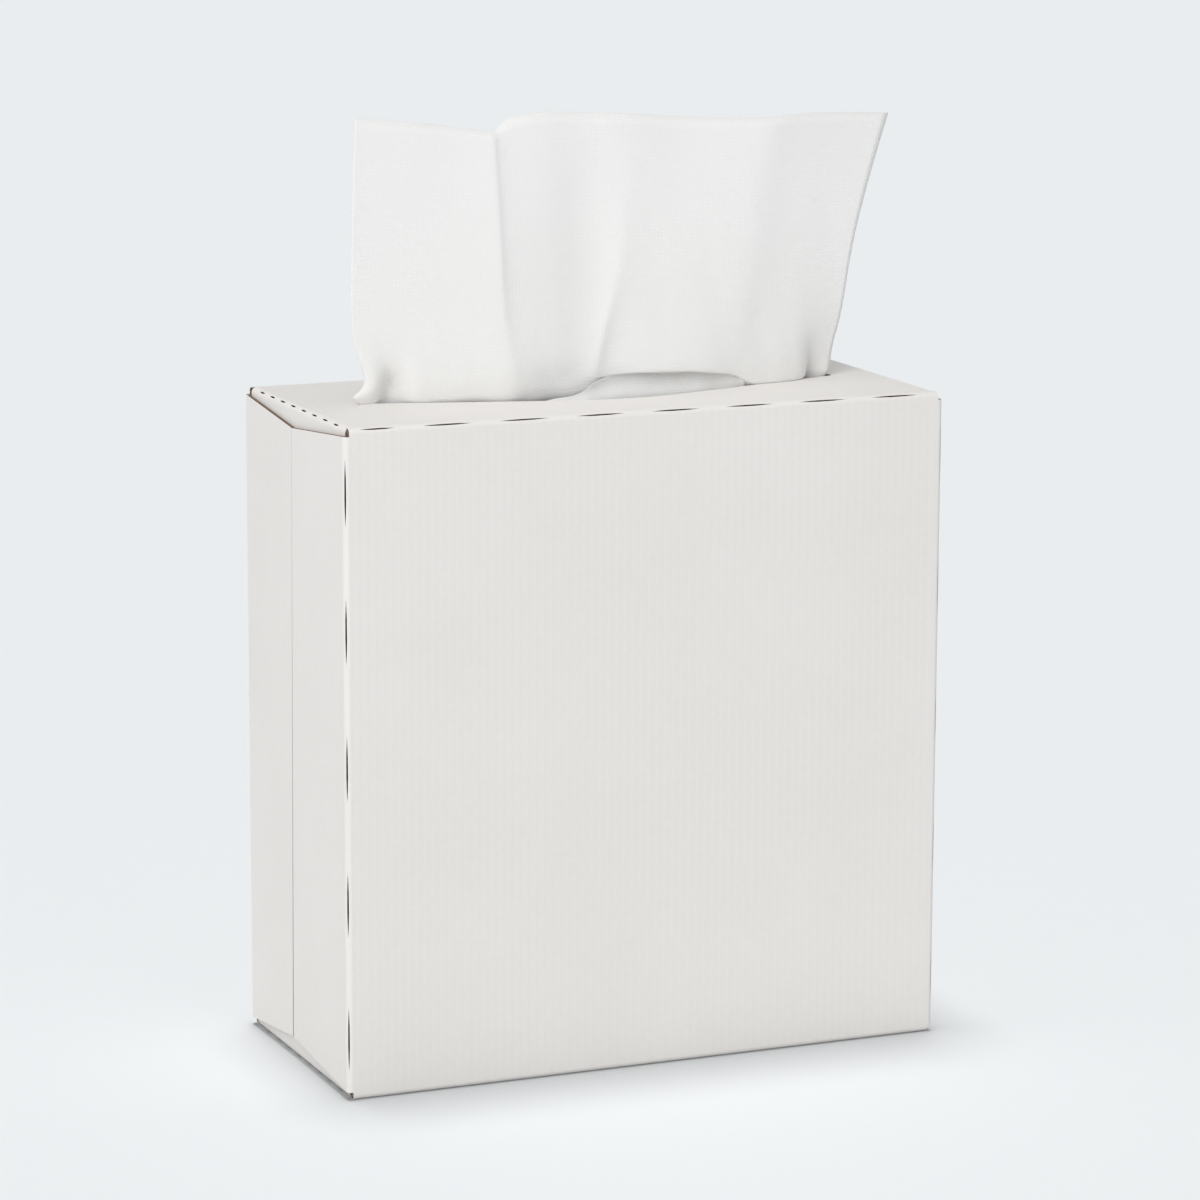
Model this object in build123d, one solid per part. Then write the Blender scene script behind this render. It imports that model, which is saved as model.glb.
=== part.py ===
from build123d import *
import os
from math import cos, radians, sin, sqrt, tan

# Carton of fine-fluted board, lying on its long narrow panel, millimetres.
# X runs along the carton, Y from front to back, Z up; the origin is the middle of the bottom panel.
carton_width = 240.0
carton_depth = 110.0
carton_height = 250.0
board = 1.5
fold_inside = 0.6
glue_film = 0.2

# End flaps
outer_flap_setback = 3.0
outer_flap_taper = 5.0
seam_gap_low = 0.9
seam_gap_high = 0.3
seam_offset = 3.6
seam_lean = 4.3
inner_flap_length = 50.0
inner_flap_setback = 3.0
inner_flap_taper = 2.0
flap_corner = 3.0
slot_kerf = 0.5

# Glue tab of the side joint
tab_length = 24.0
tab_end_setback = 6.0
tab_taper = 5.0
raw_edge_drop = 0.5

# Cut creases: length of a slit and of the crease between two slits
slit_width = 0.75
upright_slit = 25.4
upright_crease = 25.4
long_slit = 20.0
long_crease = 10.0
flap_slit = 5.8
flap_crease = 5.8
slit_margin = 6.0

# Dispensing opening torn out of the top panel
opening_half_width = 26.0
opening_middle_radius = 87.0
opening_flank_angle = 16.0
opening_end_radius = 2.5
opening_offset = 3.0

# Wipes
wipe_end_clearance = 1.3
stack_height = 220.5
stack_side_clearance = 0.3
fold_bulge = 0.8
fold_pitch = 9.0
wipe_seat_gap = 0.3

# Raised wipe: its bends from left to right, places along X at the lip and at the free edge
raised_feet = (-91.0, -66.0, -38.0, -31.0, -13.0, -4.0, 3.0, 28.0, 50.0, 58.0, 85.0, 88.5, 96.0)
raised_tops = (-97.0, -62.0, -42.0, -38.0, -6.0, 16.0, 22.0, 46.0, 69.0, 77.0, 101.0, 107.0, 124.0)
# The bends' places along Y at five levels
seat_depths = (0.5, 0.2, -0.5, 1.0, 1.2, 1.6, 2.0, 2.5, 1.0, 0.0, 1.5, 2.5, 1.5)
lip_depths = (-1.5, -7.8, -15.2, -12.4, -10.6, -8.4, -8.0, -8.2, -10.4, -12.6, -5.0, 0.5, -0.8)
belly_depths = (-2.5, -9.2, -16.0, -13.8, -12.2, -14.0, -14.8, -17.2, -15.6, -12.4, -5.8, -1.0, -1.0)
shoulder_depths = (-3.8, -7.2, -11.0, -9.4, -6.5, -9.0, -8.5, -9.6, -10.2, -9.0, -4.4, -3.4, -0.8)
edge_depths = (-4.0, -4.2, -5.4, -3.8, -3.2, -4.5, -3.9, -3.8, -4.7, -3.9, -1.2, -0.3, 1.6)
# Heights above the top panel
belly_height = 8.0
shoulder_height = 34.0
raised_height = 103.0
raised_thickness = 1.0
raised_bend_radius = 2.5
raised_flare = 4.0

# Next wipe, under the belly of the raised one: its bends along X, and their places along Y at three levels
next_bends = (-31.0, -14.0, 4.0, 26.0, 52.0)
next_seat_depths = (-6.0, -6.8, -7.0, -7.0, -6.0)
next_lip_depths = (-14.8, -15.4, -15.6, -15.6, -13.4)
next_edge_depths = (-14.9, -14.4, -14.2, -15.2, -15.3)
next_rise = 4.0
next_thickness = 1.0
next_bend_radius = 20.0

# Hot-melt strips
melt_width = 12.0
melt_length = 32.0
melt_spacing = 52.0
joint_glue_width = 14.0

fold_outside = fold_inside + board
half_width = carton_width / 2
half_depth = carton_depth / 2
inner_flap_face = half_width - board - glue_film
tab_face = half_depth - board - glue_film
wipe_width = 2 * (inner_flap_face - board - wipe_end_clearance)
stack_top = board + stack_height
headspace = carton_height - stack_top


def strip_section(outer_points):
    """Board bent along the outer points, all turns to the left, with rounded folds."""
    points = [Vector(*p, 0) for p in outer_points]
    steps = [(b - a).normalized() for a, b in zip(points, points[1:])]
    normals = [Vector(-s.Y, s.X, 0) for s in steps]
    inner_points = [points[0] + normals[0] * board]
    for point, before, after in zip(points[1:-1], normals, normals[1:]):
        inner_points.append(point + (before + after) * board)
    inner_points.append(points[-1] + normals[-1] * board)
    outer = FilletPolyline(*points, radius=fold_outside)
    inner = FilletPolyline(*inner_points, radius=fold_inside)
    ends = [Line(points[0], inner_points[0]), Line(points[-1], inner_points[-1])]
    return make_face([outer, inner] + ends)


def across(section, half_length):
    """Extrude a section drawn in (y, z) along X, both ways from the middle."""
    return extrude(Plane.YZ * section, amount=half_length, both=True)


def wrapped_panels():
    """Bottom, front and top panels with the back panel, as one bent strip."""
    outer = [
        (half_depth, carton_height - raw_edge_drop),
        (half_depth, 0),
        (-half_depth, 0),
        (-half_depth, carton_height),
        (tab_face - fold_outside, carton_height),
    ]
    mirrored = [(-y, z) for y, z in outer]
    section = mirror(strip_section(mirrored), about=Plane.YZ)
    return across(section, half_width - fold_outside)


def glue_tab():
    """Tab bent down from the top panel, inside the back panel, with tapered ends."""
    bend = quarter_fold(carton_width - 2 * tab_end_setback)
    bend = Pos(0, tab_face - fold_outside, carton_height - fold_outside) * Rot(0, 0, 90) * bend
    half_top = half_width - tab_end_setback
    half_low = half_top - tab_taper
    drop = tab_length - fold_outside
    outline = Polyline((-half_top, 0), (half_top, 0), (half_low, -drop), (-half_low, -drop), close=True)
    plate = extrude(Plane.XZ * make_face(outline), amount=board)
    return bend + Pos(0, tab_face, carton_height - fold_outside) * plate


def quarter_fold(length):
    """Quarter ring along Y, from the top of its axis to the +X side."""
    ring = Circle(fold_outside) - Circle(fold_inside)
    quarter = ring & Rectangle(fold_outside, fold_outside, align=(Align.MIN, Align.MIN))
    return extrude(Plane.XZ * quarter, amount=length / 2, both=True)


def inner_flap():
    """Upper flap of the +X end, hinged from the top panel."""
    half = half_depth - inner_flap_setback - slot_kerf
    hinge_x = inner_flap_face - fold_outside
    hinge_z = carton_height - fold_outside
    bend = Pos(hinge_x, 0, hinge_z) * quarter_fold(2 * half)
    tip = carton_height - inner_flap_length
    tip_half = half - inner_flap_taper
    outline = Polyline((-half, hinge_z), (-tip_half, tip), (tip_half, tip), (half, hinge_z), close=True)
    face = make_face(outline)
    face = fillet(face.vertices().sort_by(Axis.Y)[:2], radius=flap_corner)
    plate = extrude(Plane.YZ.offset(inner_flap_face - board) * face, amount=board)
    return bend + plate


def outer_flap(towards_back):
    """Full-height flap of the +X end, hinged from the front or the back panel."""
    side = 1 if towards_back else -1
    hinge_y = side * (half_depth - fold_outside)
    low = outer_flap_setback
    high = carton_height - outer_flap_setback
    seam_low = seam_offset + seam_lean / 2 + side * seam_gap_low / 2
    seam_high = seam_offset - seam_lean / 2 + side * seam_gap_high / 2
    outline = Polyline(
        (hinge_y, low),
        (seam_low, low + outer_flap_taper),
        (seam_high, high - outer_flap_taper),
        (hinge_y, high),
        close=True,
    )
    plate = extrude(Plane.YZ.offset(half_width - board) * make_face(outline), amount=board)
    bend = Rot(90, 0, 0) * quarter_fold(high - low)
    if towards_back:
        bend = mirror(bend, about=Plane.XZ)
    bend = Pos(half_width - fold_outside, hinge_y, carton_height / 2) * bend
    return plate + bend


def end_flaps():
    """Two inner and two outer flaps of the +X end."""
    top = inner_flap()
    bottom = Pos(0, 0, carton_height) * mirror(top, about=Plane.XY)
    return [top, bottom, outer_flap(False), outer_flap(True)]


def slot_cuts():
    """Room for the inner flaps' folds in the top and bottom panels of the +X end."""
    reach = half_width - inner_flap_face
    half = half_depth - inner_flap_setback
    start = inner_flap_face - fold_outside
    block = Box(reach, 2 * half, fold_outside, align=(Align.MIN, Align.CENTER, Align.MIN))
    return [Pos(start, 0, 0) * block, Pos(start, 0, carton_height - fold_outside) * block]


def row(available, slit, crease):
    """Slit centres of a cut crease that is centred on its edge."""
    pitch = slit + crease
    count = int((available - 2 * slit_margin + crease) // pitch)
    return [(i - (count - 1) / 2) * pitch for i in range(count)]


def slit_cutter(length):
    """Thin bowed sliver along X, cutting through the board along Z."""
    tip = length / 2
    upper = ThreePointArc((-tip, 0), (0, slit_width / 2), (tip, 0))
    lower = ThreePointArc((-tip, 0), (0, -slit_width / 2), (tip, 0))
    return extrude(make_face([upper, lower]), amount=fold_outside, both=True)


def upright_slits():
    """Slits in the hinges of the outer flaps, at the four upright edges."""
    reach_x = half_width - fold_outside
    reach_y = half_depth - fold_outside
    corner = fold_outside - board / 2
    cuts = []
    for z in row(carton_height, upright_slit, upright_crease):
        for side_x in (-1, 1):
            for side_y in (-1, 1):
                sliver = Rot(0, 0, 45 * side_x * side_y) * Rot(0, 90, 0) * slit_cutter(upright_slit)
                x = side_x * (reach_x + corner * sqrt(0.5))
                y = side_y * (reach_y + corner * sqrt(0.5))
                cuts.append(Pos(x, y, carton_height / 2 + z) * sliver)
    return cuts


def long_slits():
    """Slits of the two folds that are creased flat in the shipped blank: top front and bottom back."""
    corner = (fold_outside - board / 2) * sqrt(0.5) - fold_outside
    cuts = []
    right = half_width - long_crease
    left_limit = slit_margin - half_width
    while right > left_limit + long_crease:
        left = max(right - long_slit, left_limit)
        sliver = slit_cutter(right - left)
        middle = (left + right) / 2
        cuts.append(Pos(middle, -half_depth - corner, carton_height + corner) * Rot(45, 0, 0) * sliver)
        cuts.append(Pos(middle, half_depth + corner, -corner) * Rot(45, 0, 0) * sliver)
        right = left - long_crease
    return cuts


def flap_slits():
    """Short slits in the hinges of the inner flaps, both ends, top and bottom."""
    corner = (fold_outside - board / 2) * sqrt(0.5) - fold_outside
    cuts = []
    for y in row(carton_depth, flap_slit, flap_crease):
        for side in (-1, 1):
            sliver = Rot(0, 45 * side, 0) * Rot(0, 0, 90) * slit_cutter(flap_slit)
            x = side * (inner_flap_face + corner)
            cuts.append(Pos(x, y, carton_height + corner) * sliver)
            sliver = Rot(0, -45 * side, 0) * Rot(0, 0, 90) * slit_cutter(flap_slit)
            cuts.append(Pos(x, y, -corner) * sliver)
    return cuts


def opening_flank():
    """Where the middle arc of the opening meets its flank, and the half length."""
    angle = radians(opening_flank_angle)
    sink = opening_middle_radius - opening_half_width
    x = opening_middle_radius * sin(angle)
    y = opening_middle_radius * cos(angle) - sink
    meeting = x + y / tan(angle)
    end_centre = meeting - opening_end_radius / sin(angle)
    return x, y, end_centre


def opening_outline():
    """Long rounded rhombus about the origin."""
    angle = radians(opening_flank_angle)
    x, y, end_centre = opening_flank()
    end_x = end_centre + opening_end_radius * sin(angle)
    end_y = opening_end_radius * cos(angle)
    tip = end_centre + opening_end_radius
    return make_face([
        ThreePointArc((-x, y), (0, opening_half_width), (x, y)),
        Line((x, y), (end_x, end_y)),
        ThreePointArc((end_x, end_y), (tip, 0), (end_x, -end_y)),
        Line((end_x, -end_y), (x, -y)),
        ThreePointArc((x, -y), (0, -opening_half_width), (-x, -y)),
        Line((-x, -y), (-end_x, -end_y)),
        ThreePointArc((-end_x, -end_y), (-tip, 0), (-end_x, end_y)),
        Line((-end_x, end_y), (-x, y)),
    ])


def make_carton():
    """The folded blank, one solid."""
    body = wrapped_panels() - slot_cuts() - [mirror(cut, about=Plane.YZ) for cut in slot_cuts()]
    flaps = end_flaps()
    body += flaps + [mirror(flap, about=Plane.YZ) for flap in flaps] + [glue_tab()]
    hole = extrude(opening_outline(), amount=2 * board, both=True)
    body -= Pos(opening_offset, 0, carton_height) * hole
    return body - upright_slits() - long_slits() - flap_slits()


def make_stack():
    """Interfolded wipes; each bundle of folds bulges a little at the front and back."""
    half = half_depth - board - stack_side_clearance
    count = round(stack_height / fold_pitch)
    pitch = stack_height / count
    edges = []
    for side in (-1, 1):
        for i in range(count):
            low = (side * (half - fold_bulge), board + i * pitch)
            middle = (side * half, board + (i + 0.5) * pitch)
            high = (side * (half - fold_bulge), board + (i + 1) * pitch)
            edges.append(ThreePointArc(low, middle, high))
    for z in (board, stack_top):
        edges.append(Line((fold_bulge - half, z), (half - fold_bulge, z)))
    return across(make_face(edges), wipe_width / 2)


def bent_sheet_section(places, z, thickness, radius):
    """Section of a sheet at height z, bent at the (x, y) places, with its depth behind them."""
    front_points = [Vector(x, y, z) for x, y in places]
    back_points = [point + Vector(0, thickness, 0) for point in front_points]
    front = FilletPolyline(*front_points, radius=radius)
    back = FilletPolyline(*back_points, radius=radius)
    return make_face([front, Line(front @ 1, back @ 1), back, Line(back @ 0, front @ 0)])


def raised_section(height, depths):
    """Section of the raised wipe at a height above the top panel."""
    share = max(height, 0) / raised_height
    xs = [foot + (top - foot) * share for foot, top in zip(raised_feet, raised_tops)]
    if 0 < height < raised_height:
        xs[0] -= raised_flare
        xs[-1] += raised_flare * share
    places = list(zip(xs, depths))
    return bent_sheet_section(places, carton_height + height, raised_thickness, raised_bend_radius)


def make_raised_wipe():
    """Creased sheet from the stack's top through the opening, up to its free edge."""
    sections = [
        raised_section(wipe_seat_gap - headspace, seat_depths),
        raised_section(0, lip_depths),
        raised_section(belly_height, belly_depths),
        raised_section(shoulder_height, shoulder_depths),
        raised_section(raised_height, edge_depths),
    ]
    return loft(sections, ruled=True)


def next_section(height, depths):
    """Section of the next wipe at a height above the top panel."""
    places = list(zip(next_bends, depths))
    return bent_sheet_section(places, carton_height + height, next_thickness, next_bend_radius)


def make_next_wipe():
    """Sheet from the stack's top up through the opening, behind its front lip."""
    sections = [
        next_section(wipe_seat_gap - headspace, next_seat_depths),
        next_section(0, next_lip_depths),
        next_section(next_rise, next_edge_depths),
    ]
    return loft(sections, ruled=True)


def make_flap_glue(end):
    """Four hot-melt strips between the inner and outer flaps, end 1 at +X or -1 at -X."""
    strip = Box(glue_film, melt_width, melt_length)
    x = end * (inner_flap_face + glue_film / 2)
    strips = []
    for side in (-1, 1):
        for z in (inner_flap_length / 2, carton_height - inner_flap_length / 2):
            strips.append(Pos(x, side * melt_spacing / 2, z) * strip)
    return Compound(children=strips)


def make_joint_glue():
    """Film between the glue tab and the back panel."""
    half = half_width - tab_end_setback - tab_taper
    strip = Box(2 * half, glue_film, joint_glue_width)
    z = carton_height - (tab_length + fold_outside) / 2
    return Pos(0, tab_face + glue_film / 2, z) * strip


def save(shape, name):
    """Write one node."""
    export_step(shape, f"parts/{name}.step")


os.makedirs("parts", exist_ok=True)
save(make_carton(), "carton")
save(make_stack(), "wipe_stack")
save(make_raised_wipe(), "raised_wipe")
save(make_next_wipe(), "next_wipe")
save(make_joint_glue(), "joint_glue")
save(make_flap_glue(-1), "left_flap_glue")
save(make_flap_glue(1), "right_flap_glue")
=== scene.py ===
from math import pi, radians

import bpy
import numpy as np
from mathutils import Matrix, Vector, noise


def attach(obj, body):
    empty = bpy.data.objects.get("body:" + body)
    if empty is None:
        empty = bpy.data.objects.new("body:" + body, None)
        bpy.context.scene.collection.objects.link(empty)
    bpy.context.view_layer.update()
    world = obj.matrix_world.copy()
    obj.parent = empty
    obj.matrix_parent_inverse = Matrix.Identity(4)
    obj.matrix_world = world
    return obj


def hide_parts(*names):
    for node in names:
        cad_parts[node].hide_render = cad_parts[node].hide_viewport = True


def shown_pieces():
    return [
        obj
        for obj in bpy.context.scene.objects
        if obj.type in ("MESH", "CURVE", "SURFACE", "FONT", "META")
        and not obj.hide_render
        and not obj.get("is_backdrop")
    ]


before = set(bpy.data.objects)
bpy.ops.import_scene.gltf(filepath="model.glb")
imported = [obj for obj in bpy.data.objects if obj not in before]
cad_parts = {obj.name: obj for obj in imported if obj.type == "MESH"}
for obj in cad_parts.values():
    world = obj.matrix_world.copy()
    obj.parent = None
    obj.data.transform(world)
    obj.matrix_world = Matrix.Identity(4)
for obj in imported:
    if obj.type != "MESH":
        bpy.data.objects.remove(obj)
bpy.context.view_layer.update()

# Sizes of the carton in metres, as the model has them
HALF = (0.120, 0.055, 0.125)
BOARD = 0.0015
FOLD = 0.0021
INNER_FLAP_FACE = 0.1183
TAB_FACE = 0.0533
LID = 0.250
STACK_TOP = 0.222
STACK_HALF = (0.1155, 0.0530)
STACK_CLEARANCE = 0.0003
SHEET_THICKNESS = 0.0003

# Board: thickness of a liner, and the wave of the flutes between the liners
LINER = 0.00016
FLUTE_PITCH = 0.0033
FLUTE_SWING = 0.00042

# Distance between the rows of raised dots on a wipe
DOT_PITCH = 0.0013

# Colours
LINER_DARKER = (0.774, 0.750, 0.724, 1)
LINER_LIGHTER = (0.800, 0.777, 0.752, 1)
LINER_SPECK = (0.90, 0.89, 0.87, 1)
# Painted shade for faint stripes along the flutes on the liner
LINER_FLUTE_SHADE = (0.60, 0.58, 0.56, 1)
KRAFT = (0.250, 0.172, 0.118, 1)
KRAFT_FIBRE = (0.360, 0.262, 0.185, 1)
# Painted shade for the open flute channels of a cut edge
FLUTE_GAP_SHADE = (0.070, 0.046, 0.034, 1)
WIPE_GROUND = (0.838, 0.836, 0.818, 1)
# Painted highlight for the raised dots of a wipe
WIPE_DOT_HIGHLIGHT = (0.880, 0.878, 0.864, 1)
WIPE_CREPE = (0.82, 0.82, 0.81, 1)
GLUE_DARKER = (0.62, 0.48, 0.26, 1)
GLUE_LIGHTER = (0.74, 0.62, 0.38, 1)
WORLD_LIGHT = (1.0, 1.0, 1.0, 1)
FLOOR_TONE = (0.862, 0.886, 0.902, 1)
BACKDROP = (0.839, 0.863, 0.880, 1)


def make_camera():
    """Camera at the photograph's place."""
    data = bpy.data.cameras.new("camera")
    data.lens = 141.317
    data.sensor_width = 36
    data.clip_start = 0.05
    data.clip_end = 200
    camera = bpy.data.objects.new("camera", data)
    right = Vector((0.92057, -0.39057, 0.00373))
    up = Vector((0.07316, 0.18179, 0.98061))
    back = right.cross(up)
    turn = Matrix((right, up, back)).transposed().to_4x4()
    camera.matrix_world = Matrix.Translation((-0.68557, -1.61981, 0.52017)) @ turn
    bpy.context.collection.objects.link(camera)
    bpy.context.scene.camera = camera


def make_sun(name, towards, strength, width):
    """Broad soft light that shines along the given direction, its disc's width in degrees."""
    data = bpy.data.lights.new(name, "SUN")
    data.energy = strength
    data.angle = radians(width)
    sun = bpy.data.objects.new(name, data)
    sun.rotation_euler = Vector(towards).to_track_quat("-Z", "Y").to_euler()
    bpy.context.collection.objects.link(sun)
    return sun


def make_soft_box(name, place, target, power, size):
    """Square soft box, near enough that the object's top gets more of it than its foot."""
    data = bpy.data.lights.new(name, "AREA")
    data.energy = power
    data.size = size
    box = bpy.data.objects.new(name, data)
    box.location = place
    box.rotation_euler = (Vector(target) - Vector(place)).to_track_quat("-Z", "Y").to_euler()
    bpy.context.collection.objects.link(box)
    return box


def leave_out(light, *objects):
    """The light doesn't fall on these objects."""
    group = bpy.data.collections.new(f"{light.name}_leaves_out")
    light.light_linking.receiver_collection = group
    for piece in objects:
        group.objects.link(piece)
    for member in group.collection_objects:
        member.light_linking.link_state = "EXCLUDE"


class Tree:
    """Adds nodes to a tree, with numbers or other nodes' outputs as their inputs."""

    def __init__(self, tree):
        self.tree = tree
        tree.nodes.clear()

    def add(self, kind, inputs=None, **settings):
        node = self.tree.nodes.new(kind)
        for name, value in settings.items():
            setattr(node, name, value)
        for name, value in (inputs or {}).items():
            if isinstance(value, bpy.types.NodeSocket):
                self.tree.links.new(value, node.inputs[name])
            else:
                node.inputs[name].default_value = value
        return node

    def math(self, operation, *values):
        node = self.add("ShaderNodeMath", dict(enumerate(values)), operation=operation)
        return node.outputs[0]

    def vector(self, operation, *values):
        node = self.add("ShaderNodeVectorMath", dict(enumerate(values)), operation=operation)
        return node.outputs["Value" if operation in ("LENGTH", "DOT_PRODUCT") else "Vector"]

    def split(self, vector):
        return self.add("ShaderNodeSeparateXYZ", {0: vector}).outputs

    def ramp(self, value, low, high, to_low=0.0, to_high=1.0):
        """Straight map from one range to another, clamped."""
        inputs = {"Value": value, "From Min": low, "From Max": high, "To Min": to_low, "To Max": to_high}
        return self.add("ShaderNodeMapRange", inputs).outputs[0]

    def mix(self, share, a, b):
        node = self.add("ShaderNodeMix", {"Factor": share}, data_type="RGBA")
        for socket, value in ((node.inputs[6], a), (node.inputs[7], b)):
            if isinstance(value, bpy.types.NodeSocket):
                self.tree.links.new(value, socket)
            else:
                socket.default_value = value
        return node.outputs[2]

    def noise(self, position, scale, detail=2.0, rough=0.5):
        inputs = {"Vector": position, "Scale": scale, "Detail": detail, "Roughness": rough}
        return self.add("ShaderNodeTexNoise", inputs).outputs["Fac"]

    def bump(self, height):
        """Normal of a relief whose height is in metres."""
        return self.add("ShaderNodeBump", {"Height": height, "Distance": 1.0, "Strength": 1.0}).outputs[0]

    def surface(self, colour, roughness, normal=None, **sockets):
        inputs = {"Base Color": colour, "Roughness": roughness, **sockets}
        if normal is not None:
            inputs["Normal"] = normal
        shader = self.add("ShaderNodeBsdfPrincipled", inputs)
        self.add("ShaderNodeOutputMaterial", {"Surface": shader.outputs[0]})


def new_material(name):
    material = bpy.data.materials.new(name)
    material.use_nodes = True
    return material, Tree(material.node_tree)


def make_world():
    """Even light all round; the camera and clear reflections see the backdrop's colour instead."""
    world = bpy.data.worlds.new("studio")
    world.use_nodes = True
    tree = Tree(world.node_tree)
    light = tree.add("ShaderNodeBackground", {"Color": WORLD_LIGHT, "Strength": 0.45})
    seen = tree.add("ShaderNodeBackground", {"Color": BACKDROP})
    path = tree.add("ShaderNodeLightPath").outputs
    mirrored = tree.math("MAXIMUM", path["Is Glossy Ray"], path["Is Transmission Ray"])
    seen_by = tree.math("MAXIMUM", path["Is Camera Ray"], mirrored)
    mix = tree.add("ShaderNodeMixShader", {0: seen_by, 1: light.outputs[0], 2: seen.outputs[0]})
    tree.add("ShaderNodeOutputWorld", {"Surface": mix.outputs[0]})
    bpy.context.scene.world = world


def box_distance(tree, position, half):
    """Distance from a rounded box of the carton's height, negative inside."""
    centred = tree.vector("SUBTRACT", position, (0, 0, HALF[2]))
    beyond = tree.vector("SUBTRACT", tree.vector("ABSOLUTE", centred), tuple(v - FOLD for v in half))
    outside = tree.vector("LENGTH", tree.vector("MAXIMUM", beyond, (0, 0, 0)))
    x, y, z = tree.split(beyond)
    inside = tree.math("MINIMUM", tree.math("MAXIMUM", tree.math("MAXIMUM", x, y), z), 0)
    return tree.math("SUBTRACT", tree.math("ADD", outside, inside), FOLD)


def make_board_material():
    """Fine-fluted board: white liner outside, brown where it is cut and inside, painted shade in and along
    the flutes.
    """
    material, tree = new_material("board")
    position = tree.add("ShaderNodeTexCoord").outputs["Object"]
    x, y, _ = tree.split(position)
    depth = box_distance(tree, position, HALF)
    outer = tree.ramp(depth, -LINER, -0.7 * LINER)
    inner_flap = box_distance(tree, position, (INNER_FLAP_FACE, HALF[1], HALF[2]))
    on_flap = tree.math("COMPARE", inner_flap, 0, LINER * 0.8)
    on_flap = tree.math("MULTIPLY", on_flap, tree.math("LESS_THAN", tree.math("ABSOLUTE", y), 0.0522))
    tab = box_distance(tree, position, (HALF[0], TAB_FACE, HALF[2]))
    on_tab = tree.math("COMPARE", tab, 0, LINER * 0.8)
    on_tab = tree.math("MULTIPLY", on_tab, tree.math("GREATER_THAN", y, 0))
    white = tree.math("MAXIMUM", outer, tree.math("MAXIMUM", on_flap, on_tab))

    # Direction across the flutes: X on the long panels, Y on the end flaps
    normal = tree.add("ShaderNodeTexCoord").outputs["Normal"]
    at_end = tree.math("GREATER_THAN", tree.math("ABSOLUTE", tree.split(normal)[0]), 0.7)
    along_x = tree.math("MULTIPLY", x, tree.math("SUBTRACT", 1, at_end))
    across = tree.math("ADD", along_x, tree.math("MULTIPLY", y, at_end))
    turns = tree.math("MULTIPLY", across, 2 * pi / FLUTE_PITCH)
    wave = tree.math("SINE", turns)

    # Cut edge: liners and wavy medium in kraft, with painted shade in the open hollows between
    middle = tree.math("MULTIPLY_ADD", wave, FLUTE_SWING, -BOARD / 2)
    off = tree.math("ABSOLUTE", tree.math("SUBTRACT", depth, middle))
    off_inside = tree.math("ABSOLUTE", tree.math("ADD", depth, BOARD))
    off_rim = tree.math("MINIMUM", tree.math("ABSOLUTE", depth), off_inside)
    paper = tree.ramp(tree.math("MINIMUM", off, off_rim), 0.00018, 0.00034, 1, 0)
    fibres = tree.noise(position, 900, 4, 0.6)
    kraft = tree.mix(tree.ramp(fibres, 0.3, 0.7, 0, 0.5), KRAFT, KRAFT_FIBRE)
    edge = tree.mix(paper, FLUTE_GAP_SHADE, kraft)
    off_middle = tree.math("ABSOLUTE", tree.math("ADD", depth, BOARD / 2))
    on_face = tree.math("GREATER_THAN", off_middle, BOARD / 2 - 0.00003)
    brown = tree.mix(on_face, edge, kraft)

    # White liner: cloudy tone, fine fibres, and faint painted shade in stripes along the flutes
    clouds = tree.noise(position, 14, 3, 0.55)
    speck = tree.noise(position, 520, 3, 0.6)
    tone = tree.mix(tree.ramp(clouds, 0.3, 0.7), LINER_DARKER, LINER_LIGHTER)
    tone = tree.mix(tree.ramp(speck, 0.35, 0.65, 0, 0.10), tone, LINER_SPECK)
    # Painted shade: faint darker stripes at the flute pitch
    tone = tree.mix(tree.ramp(wave, -1, 1, 0, 0.035), tone, LINER_FLUTE_SHADE)
    colour = tree.mix(white, brown, tone)

    rough_paper = tree.math("MULTIPLY", tree.noise(position, 1400, 3, 0.6), 0.00002)
    flutes = tree.math("MULTIPLY", wave, 0.000012)
    swell = tree.math("MULTIPLY", tree.noise(position, 26, 2, 0.5), 0.00025)
    height = tree.math("ADD", tree.math("ADD", rough_paper, flutes), swell)
    bumped = tree.bump(height)
    tree.surface(colour, 0.72, bumped, **{"Specular IOR Level": 0.25})
    return material


def make_wipe_material():
    """Soft creped paper: small raised dots in rows over fine crepe lines, with painted highlight on the
    dots.
    """
    material, tree = new_material("creped_paper")
    cloth = tree.add("ShaderNodeUVMap", uv_map="cloth").outputs[0]
    u, v, _ = tree.split(cloth)
    fibre = tree.noise(cloth, 1800, 3, 0.65)
    drift = tree.math("MULTIPLY", tree.noise(cloth, 160, 2, 0.5), 0.0016)
    rows = tree.math("SINE", tree.math("MULTIPLY", tree.math("ADD", v, drift), 2 * pi / DOT_PITCH))
    columns = tree.math("SINE", tree.math("MULTIPLY", tree.math("ADD", u, drift), 2 * pi / DOT_PITCH))
    dots = tree.math("MULTIPLY", tree.math("ADD", rows, 1), tree.math("ADD", columns, 1))
    patches = tree.ramp(tree.noise(cloth, 55, 2, 0.5), 0.38, 0.62, 0.25, 1)
    dots = tree.math("MULTIPLY", dots, patches)
    crepe = tree.noise(tree.vector("MULTIPLY", cloth, (350, 1300, 1)), 1, 3, 0.6)
    height = tree.math("MULTIPLY", dots, 0.000016)
    height = tree.math("MULTIPLY_ADD", fibre, 0.00006, height)
    height = tree.math("MULTIPLY_ADD", crepe, 0.00007, height)
    bumped = tree.bump(height)
    # Painted highlight: the raised dots are coloured lighter than the ground
    tone = tree.mix(tree.ramp(dots, 0, 4), WIPE_GROUND, WIPE_DOT_HIGHLIGHT)
    tone = tree.mix(tree.ramp(crepe, 0.3, 0.7, 0, 0.25), tone, WIPE_CREPE)
    soft = {"Specular IOR Level": 0.1, "Sheen Weight": 0.12, "Sheen Roughness": 0.5}
    glow = {"Subsurface Weight": 0.45, "Subsurface Radius": (1, 1, 1), "Subsurface Scale": 0.0012}
    tree.surface(tone, 0.95, bumped, **soft, **glow)
    return material


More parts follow.
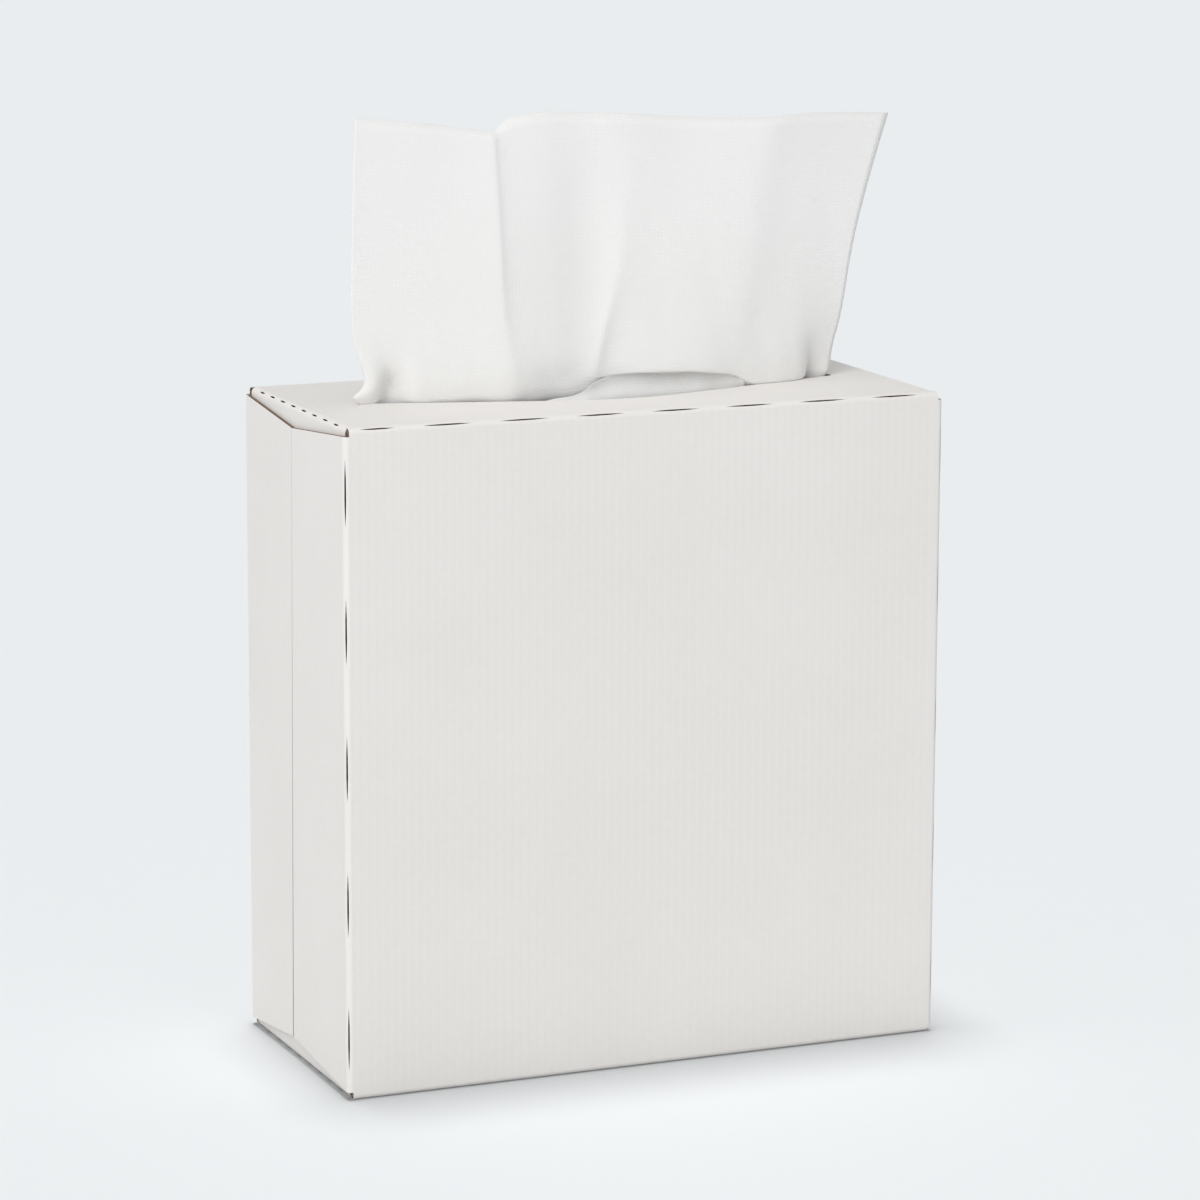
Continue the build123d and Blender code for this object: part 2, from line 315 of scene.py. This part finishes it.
def make_glue_material():
    """Hot melt, amber and slightly uneven."""
    material, tree = new_material("hot_melt")
    position = tree.add("ShaderNodeTexCoord").outputs["Object"]
    cloud = tree.noise(position, 300, 3, 0.5)
    colour = tree.mix(cloud, GLUE_DARKER, GLUE_LIGHTER)
    bumped = tree.bump(tree.math("MULTIPLY", cloud, 0.00005))
    tree.surface(colour, 0.35, bumped)
    return material


def make_floor():
    """Plain pale floor, far wider than the picture."""
    mesh = bpy.data.meshes.new("floor")
    reach = 40
    corners = [(-reach, -reach, 0), (reach, -reach, 0), (reach, reach, 0), (-reach, reach, 0)]
    mesh.from_pydata(corners, [], [(0, 1, 2, 3)])
    floor = bpy.data.objects.new("floor", mesh)
    bpy.context.collection.objects.link(floor)
    material, tree = new_material("floor")
    tree.surface(FLOOR_TONE, 1.0, **{"Specular IOR Level": 0.0})
    mesh.materials.append(material)
    floor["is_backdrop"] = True
    return floor


def spline_weights(count, steps):
    """Rows of weights that turn control points into a clamped cubic B-spline's points."""
    degree = 3
    knots = np.concatenate([np.zeros(degree), np.linspace(0, 1, count - degree + 1), np.ones(degree)])
    at = np.linspace(0, 1, steps + 1)
    at[-1] = 1 - 1e-9
    weights = np.array([(knots[i] <= at) & (at < knots[i + 1]) for i in range(len(knots) - 1)], float).T
    for d in range(1, degree + 1):
        raised = np.zeros((len(at), weights.shape[1] - 1))
        for i in range(weights.shape[1] - 1):
            before, after = knots[i + d] - knots[i], knots[i + d + 1] - knots[i + 1]
            if before > 0:
                raised[:, i] += (at - knots[i]) / before * weights[:, i]
            if after > 0:
                raised[:, i] += (knots[i + d + 1] - at) / after * weights[:, i + 1]
        weights = raised
    return weights


def surface_points(net, rows, columns):
    """Grid of points on the smooth surface of a control net, in metres."""
    net = np.array(net, float) / 1000
    down = spline_weights(net.shape[0], rows)
    along = spline_weights(net.shape[1], columns)
    return np.einsum("ri,cj,ijk->rck", down, along, net)


def normals(grid):
    """Unit normals of the grid's front."""
    across = np.gradient(grid, axis=1)
    down = np.gradient(grid, axis=0)
    n = np.cross(down, across)
    return n / np.maximum(np.linalg.norm(n, axis=2, keepdims=True), 1e-12)


def lengths(grid, axis):
    """Distance along the grid from its first row or column."""
    steps = np.linalg.norm(np.diff(grid, axis=axis), axis=2)
    total = np.cumsum(steps, axis=axis)
    return np.insert(total, 0, 0, axis=axis)


def sheet_object(name, grid, material):
    """Closed thin mesh with the grid as its front, and a cloth map in metres along the sheet."""
    rows, columns = grid.shape[:2]
    back = grid - normals(grid) * SHEET_THICKNESS
    points = np.concatenate([grid.reshape(-1, 3), back.reshape(-1, 3)])
    index = np.arange(rows * columns).reshape(rows, columns)
    a, b, c, d = index[:-1, :-1], index[:-1, 1:], index[1:, 1:], index[1:, :-1]
    front = np.stack([a, d, c, b], -1).reshape(-1, 4)
    behind = np.stack([a, b, c, d], -1).reshape(-1, 4) + rows * columns
    rim = np.concatenate([index[0], index[1:, -1], index[-1, -2::-1], index[-2:0:-1, 0]])
    follow = np.roll(rim, -1)
    shift = rows * columns
    band = np.stack([rim, follow, follow + shift, rim + shift], -1)
    faces = np.concatenate([front, behind, band])
    mesh = bpy.data.meshes.new(name)
    mesh.from_pydata(points.tolist(), [], faces.tolist())
    u = lengths(grid, 1).reshape(-1)
    v = lengths(grid, 0).reshape(-1)
    uv = np.tile(np.stack([u, v], -1), (2, 1))
    layer = mesh.uv_layers.new(name="cloth")
    layer.data.foreach_set("uv", uv[faces.reshape(-1)].reshape(-1))
    mesh.polygons.foreach_set("use_smooth", [True] * (len(faces) - len(band)) + [False] * len(band))
    mesh.update()
    piece = bpy.data.objects.new(name, mesh)
    bpy.context.collection.objects.link(piece)
    mesh.materials.append(material)
    return piece


def wrinkle(grid, amount, scale, seed):
    """Moves the points along the sheet's normals by smooth noise, amount given for each point or for all."""
    level, upright = scale
    values = [
        noise.noise(Vector((x * level + seed, y * level, z * upright - seed)))
        for x, y, z in grid.reshape(-1, 3)
    ]
    return grid + normals(grid) * (np.array(values).reshape(grid.shape[:2]) * amount)[..., None]


# Raised wipe, in millimetres. Each level, from the free edge down to the stack, has the places along X
# and along Y of the same 28 lines, and their heights above the top panel.
RAISED = [
    ((-96.3, -94, -91, -84, -64, -51, -45, -42.3, -40.8, -38, -32, -22, -14, -6, 1, 8, 14, 19, 28, 42, 56,
      67, 73, 79, 88, 100, 112, 124.6),
     (-4, -4, -4, -4, -4.2, -4.6, -5.2, -5.4, -4.3, -3.8, -3.8, -3.8, -3.5, -3.4, -3.7, -4.3, -4.5, -4.3,
      -3.9, -3.8, -4.3, -4.7, -4.9, -3.6, -1.4, 0.8, 3, 4.6),
     (105.8, 105.6, 105.4, 104.8, 102.3, 100.4, 99.5, 99.3, 99.8, 103, 105.2, 105.8, 105.6, 105, 104.6,
      104.2, 103.8, 103.4, 102.8, 101.4, 100.7, 100.5, 100.8, 101.2, 101.3, 101.1, 100.6, 99.6)),
    ((-97.6, -95, -91, -84, -64, -51, -43.5, -41, -39.6, -36, -30, -22, -15, -8, -2, 5, 11, 16, 24, 38, 53,
      63, 68, 74, 83, 94, 106, 116.5),
     (-4, -4, -4, -4.2, -5, -5.9, -6.7, -6.8, -5.8, -5.2, -5, -4.6, -3.8, -2.8, -2.8, -3.9, -4.8, -4.9,
      -4.7, -4.8, -5.6, -6.1, -5.8, -4.7, -3, -1.2, 0.4, 1.6),
     80),
    ((-98, -95.4, -91, -84, -64, -51, -43, -40.5, -39, -35.5, -29.5, -22, -15, -9, -3, 4, 9.5, 14, 22, 37,
      52, 62, 67, 73, 82, 91, 100, 107.3),
     (-3.8, -3.9, -4, -4.4, -6.2, -7.6, -8.6, -8.8, -7.7, -7, -6.8, -6.3, -5.2, -4.1, -4.2, -5.6, -6.8,
      -6.6, -6.4, -6.9, -7.7, -8, -7.3, -6.2, -5, -4, -3, -2.2),
     55),
    ((-98.4, -95.8, -90, -82, -64, -51, -42.5, -40.2, -38.6, -35, -29, -22, -15, -8.5, -3, 1, 4, 7.5, 18,
      34, 50, 59, 64, 70, 79, 89, 98, 103.7),
     (-3.6, -3.8, -4.2, -5.2, -7.4, -9.4, -10.8, -10.9, -10.2, -9.5, -9, -8.5, -7.6, -6.7, -6.7, -7.8, -9,
      -8.2, -8.6, -9.4, -9.9, -9.6, -8.6, -7.4, -6.2, -5.2, -4.2, -3.3),
     34),
    ((-97.5, -95, -88, -78, -65, -51, -41.5, -39, -37, -33.5, -28, -22, -15.5, -10, -5.5, -2.4, 0, 3.4, 13,
      31, 47, 56, 61, 69, 80, 88, 95, 101.5),
     (-3.5, -4, -4.8, -6.4, -8.6, -11.2, -13.1, -13.2, -12.9, -12.4, -11.9, -11.3, -10.2, -9.5, -9.6, -10.3,
      -11, -9.6, -10.6, -11.8, -11.8, -11.2, -10, -9, -7.8, -5.6, -4.4, -3.6),
     22),
    ((-94, -89.5, -83.5, -78, -67, -52, -40.5, -37.5, -35.5, -32, -27.5, -22, -16, -11.5, -8, -5.2, -3, 0.8,
      10, 29, 45, 54, 59, 69, 82.5, 88.5, 93.5, 99),
     (-3.4, -6, -3, -7.6, -9, -12.2, -15.1, -15.1, -14.7, -14.2, -13.7, -13.3, -12.6, -12.1, -12.2, -12.6,
      -13, -11.4, -13.2, -14.8, -14, -12.6, -11.6, -10.6, -9.2, -4.6, -3, -2.4),
     13),
    # Front of the belly, its lower edge and its underside
    ((-93, -88.5, -82, -78.5, -69, -54, -40.5, -37, -34.5, -31, -27, -22, -18, -14, -11, -7.5, -4.5, 0.4,
      10.5, 28, 44, 54, 59, 69, 85.5, 88.5, 91.5, 98.5),
     (-3.8, -7.6, 5.5, -8, -9.2, -12.4, -15.5, -15.5, -15.1, -14.5, -13.8, -13.2, -12.4, -12.3, -12.4,
      -13.2, -14, -12.4, -14.8, -16.4, -15.6, -13.8, -12.6, -11.3, -8.8, -0.8, -1.8, -1.6),
     (8.5, 8.5, 8.5, 8.5, 8.5, 8.5, 7, 7, 7, 7, 6.8, 6.8, 7, 7, 7.4, 8, 8.6, 9.2, 9.5, 9.3, 8, 7, 6.6, 8, 8,
      8, 8, 7)),
    ((-94.6, -89, -81.6, -78.4, -69.5, -55, -41, -37.2, -34.2, -30.5, -26.5, -21.5, -18, -14, -11, -7.5, -4,
      0.4, 10.5, 28, 43, 52.8, 58, 69, 86, 88.2, 91, 98),
     (-4.4, -8.2, 7.5, -7.8, -9, -12.4, -15.4, -15.5, -15.1, -14.6, -14, -13.5, -13.2, -13, -12.9, -12.9,
      -13.8, -12.8, -15.4, -16.8, -15.8, -14.2, -13.4, -12.3, -9, 1, -0.5, -1.6),
     (5.5, 5.5, 5.5, 5, 5, 5, 4, 4, 4, 4, 3.8, 3.8, 4, 4.2, 4.6, 5.2, 6, 5.8, 6.6, 6.4, 5, 2.8, 1.5, 1.4,
      1.6, 5, 5, 4)),
    ((-99, -90, -81.6, -78.4, -70, -56, -42, -38, -34.5, -30.5, -26.5, -21.5, -18, -14, -11, -7.5, -4, 0,
      11, 28, 43, 52.8, 58, 69, 86, 88.2, 91, 97.5),
     (-5, -8, 6.5, -7.2, -8.4, -12, -15.2, -15.4, -14.9, -14.3, -13.8, -13.3, -13, -12.8, -12.7, -12.6,
      -12.4, -11.8, -12.4, -12.8, -12.8, -12.8, -13.6, -12.2, -8.8, 1.5, -0.6, -1.8),
     (3, 3, 3, 2.5, 2.5, 2, 1, 1, 1.4, 1.8, 1.8, 1.8, 2, 2.2, 2.6, 3.8, 5.4, 8, 9.4, 9.2, 7.6, 4, 0.3, 0.15,
      0.15, 2.5, 2.4, 2)),
    # Level with the lip, and down to the stack
    ((-97, -90, -81.6, -78.4, -70, -56, -42, -38, -34.5, -30.5, -26.5, -21.5, -18, -14, -11, -7.5, -4, 0,
      11, 28, 43, 52.8, 58, 69, 85, 88, 91, 97),
     (-4, -5.6, 4, -6.4, -7.8, -11.4, -15, -15.2, -14.6, -14, -13.4, -12.9, -12.6, -12.4, -12, -11.8, -11.2,
      -9, -9, -9.4, -10.2, -12, -12.8, -10, -5.6, 1.5, -0.5, -1.6),
     (1, 1, 0.5, 0, 0, 0, -1, -1, -1, -1, -1, -1, -1, -0.8, -0.4, 0.4, 1, 3.6, 4.4, 4.2, 3.6, 2, -1, -0.9,
      -0.9, 0, 0.2, 0.8)),
    ((-91, -89, -81, -76, -70, -56, -42, -38, -34.5, -30.5, -26.5, -21.5, -18, -14, -11, -7.5, -4, 0, 11,
      28, 43, 54, 59.5, 67, 79, 83, 88, 94),
     (-0.5, -0.5, 1.6, -4, -5.8, -8.6, -11, -11, -10, -9.4, -9, -8.6, -8.2, -8, -7.4, -6.4, -5.4, -4.6,
      -4.6, -5, -6, -8, -8.6, -7.4, -4.6, 1.2, -0.2, -0.6),
     (-4, -4, -4.5, -5, -5, -5, -6, -6, -6, -6, -6, -6, -6, -6, -6, -5.5, -4.5, -4, -4, -4, -4, -4, -5, -5,
      -5, -5, -5, -4)),
    ((-90, -89, -83, -78, -70, -56, -42, -38, -34.5, -30.5, -26.5, -21.5, -18, -14, -11, -7.5, -4, 0, 11,
      28, 43, 54, 59.5, 67, 78.5, 82, 88, 94),
     (0.5, 0.6, 1, -1, -2.6, -4, -4.8, -4.6, -3.6, -3, -2.8, -2.6, -2.6, -2.4, -2.2, -1.9, -1.6, -1, -1,
      -1.2, -2, -3, -3.2, -2.8, -1.6, 1.2, 0.8, 0.4),
     -14),
    ((-91, -90, -88, -83, -70, -56, -42, -38, -34.5, -30.5, -26.5, -21.5, -18, -14, -11, -7.5, -4, 0, 11,
      28, 43, 54, 59.5, 67, 78.5, 82, 88, 95),
     (2.5, 2.5, 2.5, 1.8, 0.8, 0.2, 0, 0.2, 1.2, 1.8, 2, 2, 1.9, 1.7, 1.6, 1.5, 1.8, 2.3, 2.4, 2.2, 1.5,
      0.8, 0.7, 1, 1.8, 2.6, 2.5, 2.4),
     -26.6),
]


def above_lid(levels):
    """Control net from levels given above the top panel."""
    return [np.stack(np.broadcast_arrays(x, y, np.add(height, LID * 1000)), -1) for x, y, height in levels]


def make_raised_wipe(material):
    grid = surface_points(above_lid(RAISED), 150, 300)
    height = np.clip((grid[..., 2] - LID) * 1000, 0, None)
    gathered = np.exp(-height / 16)
    grid = wrinkle(grid, 0.0005 * (0.3 + gathered), (95, 22), 4.0)
    grid = wrinkle(grid, 0.0005, (30, 16), 11.0)
    piece = sheet_object("wipe_raised", grid, material)
    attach(piece, "root")
    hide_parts("raised_wipe")


# Next wipe, in millimetres, with levels from its free edge down to the stack: it comes up behind the
# front lip and leans back under the belly of the raised one
NEXT_LINES = (-31, -22, -14, -9.5, -6, -1, 8, 20, 32, 42, 51, 57)
NEXT = [
    (
        NEXT_LINES,
        (-15, -14.6, -13.8, -13, -13, -13, -13.2, -13.2, -13.2, -13.2, -13, -13.2),
        (-1.4, -0.6, 0, 1.2, 4, 6.6, 8, 8.2, 8, 7.2, 5.4, 2.8),
    ),
    (
        NEXT_LINES,
        (-15.8, -15.6, -14.6, -13.4, -12.8, -12.2, -11.8, -11.8, -12, -12.4, -12.6, -13),
        (-1.8, -1.1, -0.6, 0, 1.8, 3.6, 4.6, 4.8, 4.6, 3.8, 2.6, 0.6),
    ),
    (
        NEXT_LINES,
        (-17.2, -17.6, -16.6, -15.4, -14.8, -15, -15.8, -16.2, -16, -15.2, -14, -13.4),
        (-2.4, -1.8, -1.4, -1, -0.4, 0.4, 1, 1.2, 1, 0.4, -0.6, -2),
    ),
    (
        NEXT_LINES,
        (-17.5, -18.6, -18.6, -18.4, -18.2, -18.4, -19.2, -19.6, -18.8, -16.6, -14, -13),
        -3,
    ),
    (
        NEXT_LINES,
        (-10.5, -11.2, -11.6, -11.8, -12, -12.2, -12.4, -12.4, -12, -11, -10.2, -9.5),
        -14,
    ),
    (
        NEXT_LINES,
        (-6, -6, -6.2, -6.4, -6.5, -6.6, -7, -7, -7, -6.8, -6.4, -6),
        -26.6,
    ),
]


def make_next_wipe(material):
    grid = surface_points(above_lid(NEXT), 60, 200)
    grid = wrinkle(grid, 0.0005, (120, 40), 2.0)
    piece = sheet_object("wipe_next", grid, material)
    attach(piece, "root")
    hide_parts("next_wipe")


def make_stack(material):
    """Interfolded wipes: rolled folds front and back, soft top."""
    half_x, half_y = STACK_HALF
    low, high = BOARD + STACK_CLEARANCE, STACK_TOP - STACK_CLEARANCE
    columns, layers, steps_a_fold, top_steps = 60, 96, 3, 40
    steps = layers * steps_a_fold
    front = []
    for i in range(steps + 1):
        z = low + (high - low) * i / steps
        bulge = 0.0006 * abs(np.sin(pi * i / steps_a_fold)) + 0.0005 * noise.noise(Vector((0, 0, z * 90)))
        front.append((-half_y + 0.0007 - bulge, z))
    top = [(-half_y + 2 * half_y * i / top_steps, high) for i in range(1, top_steps)]
    back = [(-y, z) for y, z in reversed(front)]
    section = front + top + back
    points, faces = [], []
    count = len(section)
    for c in range(columns + 1):
        x = -half_x + 2 * half_x * c / columns
        for y, z in section:
            sway = 0.0005 * noise.noise(Vector((x * 30, y * 40, z * 60)))
            sink = 0.0006 * (1 + noise.noise(Vector((x * 18, y * 50, 3)))) if z >= high - 1e-6 else 0
            points.append((x, y + (sway if abs(y) > half_y * 0.9 else 0), z - sink))
    for c in range(columns):
        for k in range(count):
            follow = (k + 1) % count
            faces.append((c * count + k, c * count + follow, (c + 1) * count + follow, (c + 1) * count + k))
    faces.append(tuple(range(count - 1, -1, -1)))
    faces.append(tuple(columns * count + k for k in range(count)))
    mesh = bpy.data.meshes.new("wipes_folded")
    mesh.from_pydata(points, [], faces)
    layer = mesh.uv_layers.new(name="cloth")
    for loop in mesh.loops:
        x, y, z = points[loop.vertex_index]
        layer.data[loop.index].uv = (x, y + z)
    mesh.polygons.foreach_set("use_smooth", [len(f) == 4 for f in faces])
    mesh.update()
    piece = bpy.data.objects.new("wipes_folded", mesh)
    bpy.context.collection.objects.link(piece)
    mesh.materials.append(material)
    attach(piece, "root")
    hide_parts("wipe_stack")


def dress(node, material):
    """Gives a CAD node its material."""
    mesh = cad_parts[node].data
    mesh.materials.clear()
    mesh.materials.append(material)


make_camera()
make_world()
floor = make_floor()
leave_out(make_sun("key", towards=(0.66, 0.63, -0.40), strength=1.12, width=50), floor)
leave_out(make_sun("overhead", towards=(0.0, 0.08, -1.0), strength=0.51, width=40), floor)
soft_box = make_soft_box("soft_box", place=(-0.7, -0.7, 1.2), target=(0.0, 0.0, 0.22), power=3.8, size=0.8)
leave_out(soft_box, floor)
dress("carton", make_board_material())
glue = make_glue_material()
for node in ("joint_glue", "left_flap_glue", "right_flap_glue"):
    dress(node, glue)
wipe = make_wipe_material()
make_raised_wipe(wipe)
make_next_wipe(wipe)
make_stack(wipe)
floor_light = make_sun("floor_light", towards=(0.0, -0.07, -1.0), strength=1.59, width=15)
leave_out(floor_light, *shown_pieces())
bpy.context.scene.view_settings.view_transform = "Standard"
